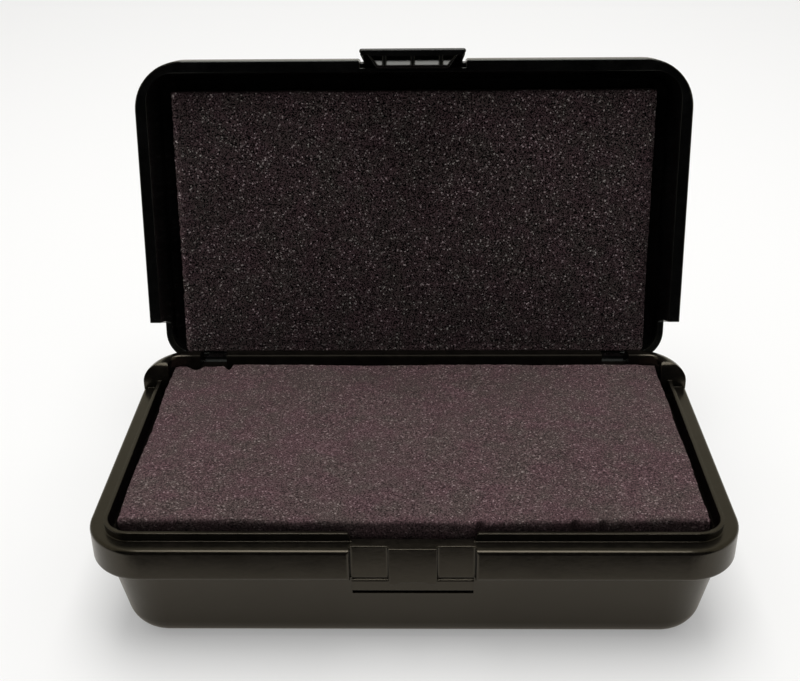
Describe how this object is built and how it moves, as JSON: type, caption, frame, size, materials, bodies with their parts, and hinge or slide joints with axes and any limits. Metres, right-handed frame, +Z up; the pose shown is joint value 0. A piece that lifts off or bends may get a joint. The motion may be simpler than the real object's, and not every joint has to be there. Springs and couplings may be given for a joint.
{
  "type": "blow-moulded case",
  "caption": "Small blow-moulded carrying case, standing open, with a foam pad in the base and in the lid and a one-piece snap latch.",
  "frame": {"origin": "middle of the flat underside of the base, on the surface that the case stands on", "axes": "+X to the right along the hinge line, +Y to the back, from the latch side to the hinge side, +Z up"},
  "size_m": [0.217, 0.1653, 0.1746],
  "materials": {
    "shell_plastic": "black, textured satin",
    "latch_plastic": "black satin",
    "base_foam": "charcoal open-cell foam with sparkling cell walls",
    "lid_foam": "charcoal open-cell foam",
    "pin_steel": "plain drawn steel"
  },
  "bodies": {
    "base": {"base_shell": "shell_plastic", "base_foam": "base_foam", "hinge_pin_left": "pin_steel", "hinge_pin_right": "pin_steel"},
    "lid": {"lid_shell": "shell_plastic", "lid_foam": "lid_foam"},
    "latch": {"latch": "latch_plastic"}
  },
  "joints": [
    {"name": "lid_hinge", "type": "hinge", "parent": "base", "child": "lid", "pos_m": [0, 0.061, 0.045], "axis": [1, 0, 0], "range_deg": [0, 101]},
    {"name": "latch_hinge", "type": "hinge", "parent": "lid", "child": "latch", "pos_m": [0, 0.09025, 0.16248], "axis": [1, 0, 0], "range_deg": [-45, 8.6]}
  ]
}
